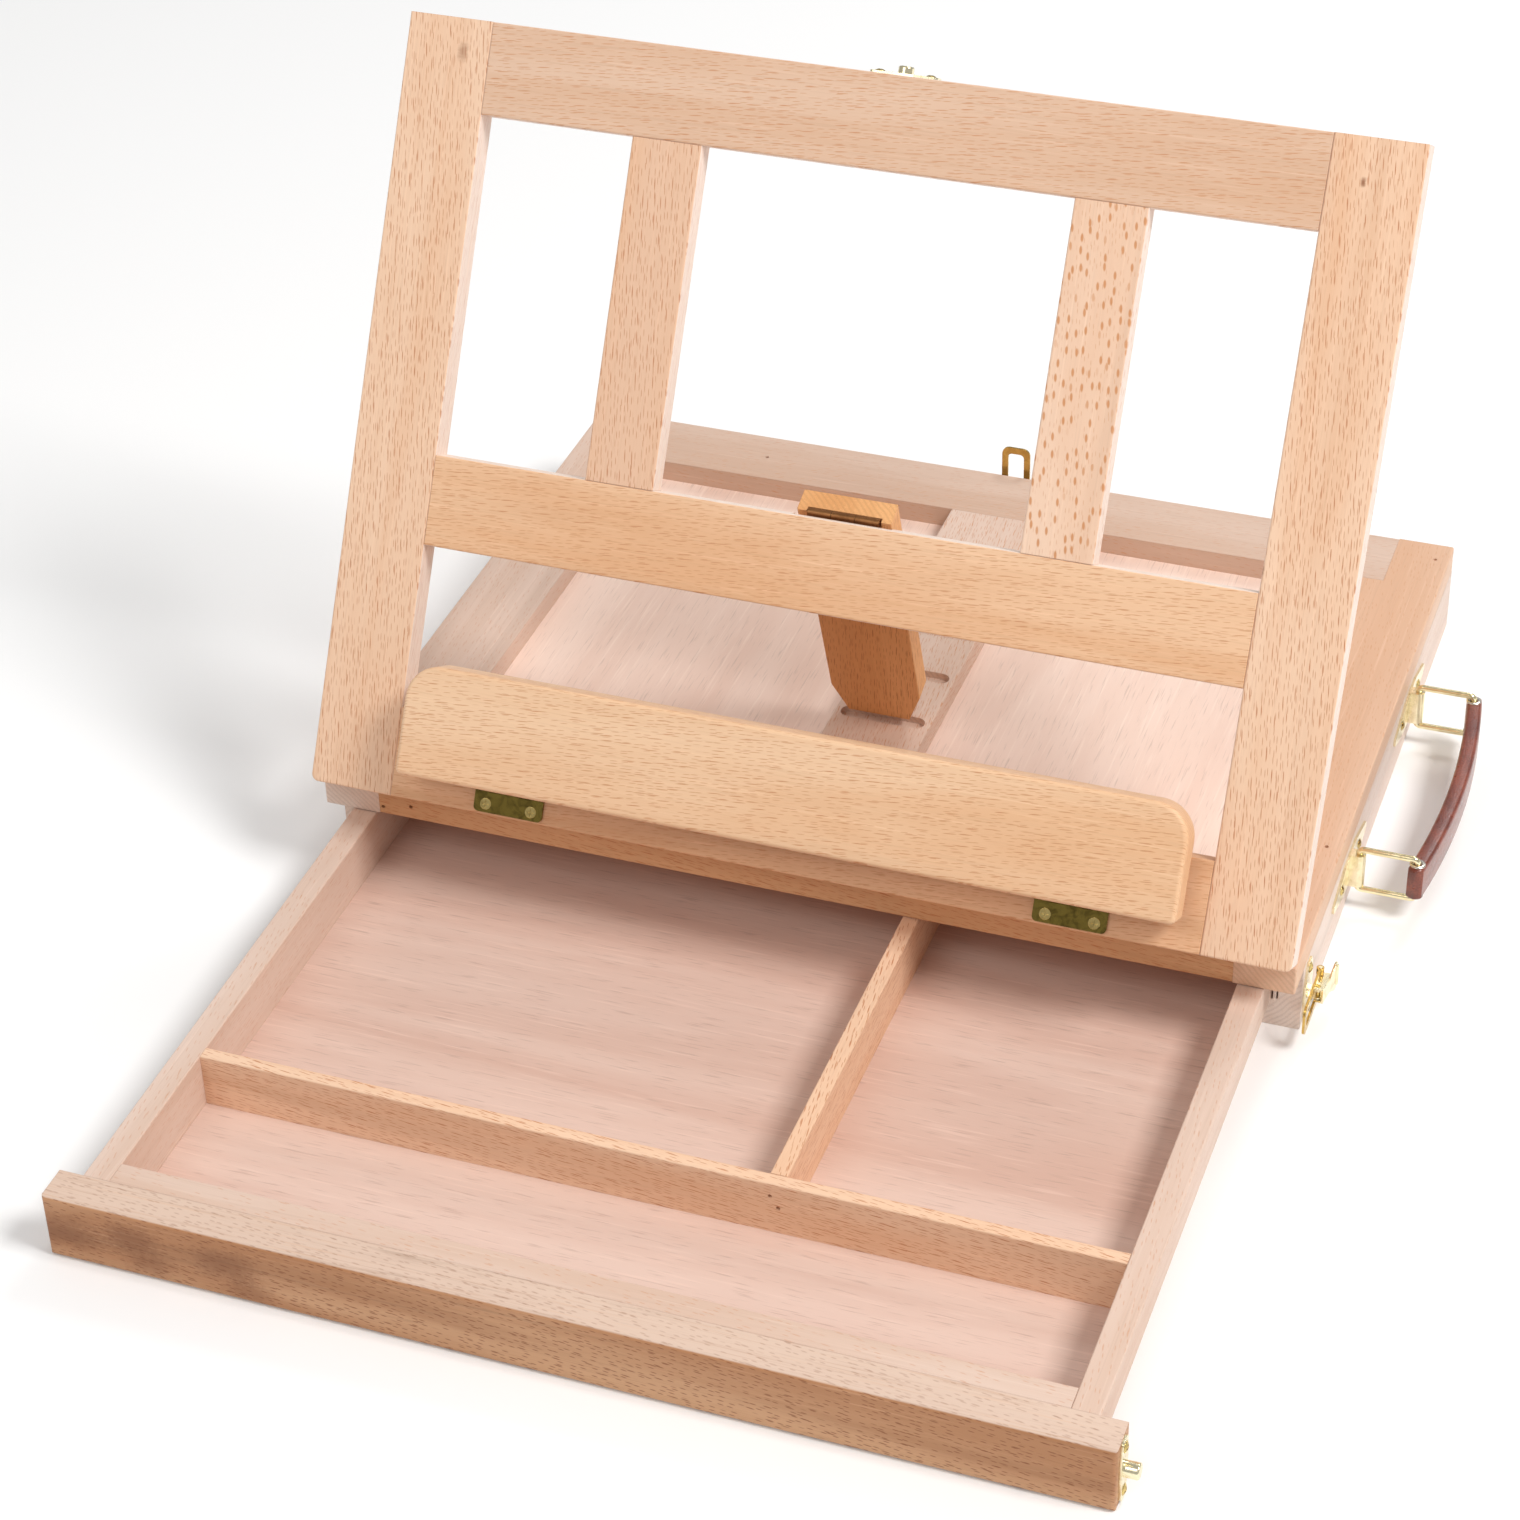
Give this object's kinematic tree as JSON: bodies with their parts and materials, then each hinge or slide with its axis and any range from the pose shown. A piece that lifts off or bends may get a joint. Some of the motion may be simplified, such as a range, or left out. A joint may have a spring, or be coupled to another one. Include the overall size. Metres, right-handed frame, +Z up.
{
  "type": "french box easel",
  "caption": "Table-top wooden box easel with a pull-out drawer, a tilting canvas frame on a folding prop, a folding ledge, a leather handle and draw latches.",
  "frame": {"origin": "middle of the back wall's underside, on the plane the box stands on", "axes": "+X to the viewer's right along the hinge line, +Y to the back, +Z up"},
  "size_m": [0.4355, 0.5613, 0.3144],
  "materials": {
    "beech": "satin",
    "plywood": "satin",
    "brass": "polished",
    "steel": "polished",
    "leather": "satin"
  },
  "bodies": {
    "case": {"side_wall_left": "beech", "side_wall_right": "beech", "back_wall": "beech", "top_rail_left": "beech", "top_rail_right": "beech", "top_rail_front": "beech", "top_rail_rear": "beech", "top_panel": "plywood", "ratchet_board": "beech", "case_screws": "brass", "frame_hinge_lower_leaf_left": "brass", "frame_hinge_lower_leaf_right": "brass", "frame_hinge_pins": "brass", "handle_bracket_front": "brass", "handle_bracket_rear": "brass", "drawer_latch_plate": "brass", "case_latch_plate": "brass", "latch_pins": "brass"},
    "frame": {"frame_stile_left": "beech", "frame_stile_right": "beech", "frame_top_rail": "beech", "frame_crossbar": "beech", "frame_bottom_rail": "beech", "frame_upright_left": "beech", "frame_upright_right": "beech", "frame_hinge_upper_leaf_left": "brass", "frame_hinge_upper_leaf_right": "brass", "frame_screws": "brass", "frame_keeper": "brass", "ledge_hinge_lower_leaf_left": "brass", "ledge_hinge_lower_leaf_right": "brass", "ledge_hinge_pins": "brass", "prop_hinge_frame_leaf": "brass", "prop_hinge_pin": "brass"},
    "ledge": {"ledge_board": "beech", "ledge_hinge_upper_leaf_left": "brass", "ledge_hinge_upper_leaf_right": "brass", "ledge_screws": "brass"},
    "prop": {"prop_board": "beech", "prop_hinge_prop_leaf": "brass", "prop_screws": "brass"},
    "drawer": {"drawer_front": "beech", "drawer_inner_front": "beech", "drawer_side_left": "beech", "drawer_side_right": "beech", "drawer_back": "beech", "drawer_floor": "plywood", "drawer_divider_cross": "beech", "drawer_divider_long": "beech", "drawer_keeper": "brass", "drawer_screws": "brass"},
    "ring_front": {"handle_ring_front": "brass"},
    "ring_rear": {"handle_ring_rear": "brass"},
    "strap": {"handle_strap": "leather", "handle_ferrules": "steel"},
    "drawer_lever": {"drawer_latch_lever": "brass"},
    "drawer_loop": {"drawer_latch_loop": "brass"},
    "case_lever": {"case_latch_lever": "brass"},
    "case_loop": {"case_latch_loop": "brass"}
  },
  "joints": [
    {"name": "drawer_slide", "type": "slide", "parent": "case", "child": "drawer", "axis": [0, 1, 0], "range_m": [0, 0.2453]},
    {"name": "frame_tilt", "type": "hinge", "parent": "case", "child": "frame", "pos_m": [0, -0.299, 0.0421], "axis": [1, 0, 0], "range_deg": [-60.4, 3]},
    {"name": "prop_swing", "type": "hinge", "parent": "frame", "child": "prop", "pos_m": [0.001, -0.23383, 0.1631], "axis": [1, 0, 0], "range_deg": [-6.7, 134.41]},
    {"name": "ledge_fold", "type": "hinge", "parent": "frame", "child": "ledge", "pos_m": [0, -0.30641, 0.05781], "axis": [1, 0, 0], "range_deg": [0, 90]},
    {"name": "handle_swing", "type": "hinge", "parent": "case", "child": "ring_rear", "pos_m": [0.2042, -0.0859, 0.019], "axis": [0, 0, 1], "range_deg": [-65, 65]},
    {"name": "handle_follow", "type": "hinge", "parent": "case", "child": "ring_front", "pos_m": [0.2042, -0.2035, 0.019], "axis": [0, 0, 1], "range_deg": [-65, 65]},
    {"name": "strap_swing", "type": "hinge", "parent": "ring_rear", "child": "strap", "pos_m": [0.2272, -0.0859, 0.019], "axis": [0, 0, 1], "range_deg": [-65, 65]},
    {"name": "drawer_latch_swing", "type": "hinge", "parent": "case", "child": "drawer_lever", "pos_m": [0.205, -0.2785, 0.0145], "axis": [0, 0, 1], "range_deg": [-40, 8]},
    {"name": "drawer_loop_swing", "type": "hinge", "parent": "drawer_lever", "child": "drawer_loop", "pos_m": [0.20389, -0.27128, 0.0145], "axis": [0, 0, 1], "range_deg": [-8, 40]},
    {"name": "case_latch_swing", "type": "hinge", "parent": "case", "child": "case_lever", "pos_m": [0, 0.011, 0.0332], "axis": [-1, 0, 0], "range_deg": [-40, 8]},
    {"name": "case_loop_swing", "type": "hinge", "parent": "case_lever", "child": "case_loop", "pos_m": [0, 0.00989, 0.02598], "axis": [-1, 0, 0], "range_deg": [-8, 40]}
  ],
  "couplings": [
    {"joint": "prop_swing", "follows": "frame_tilt", "ratio": -2.2252},
    {"joint": "handle_follow", "follows": "handle_swing", "ratio": 1},
    {"joint": "strap_swing", "follows": "handle_swing", "ratio": -1},
    {"joint": "drawer_loop_swing", "follows": "drawer_latch_swing", "ratio": -1},
    {"joint": "case_loop_swing", "follows": "case_latch_swing", "ratio": -1}
  ]
}
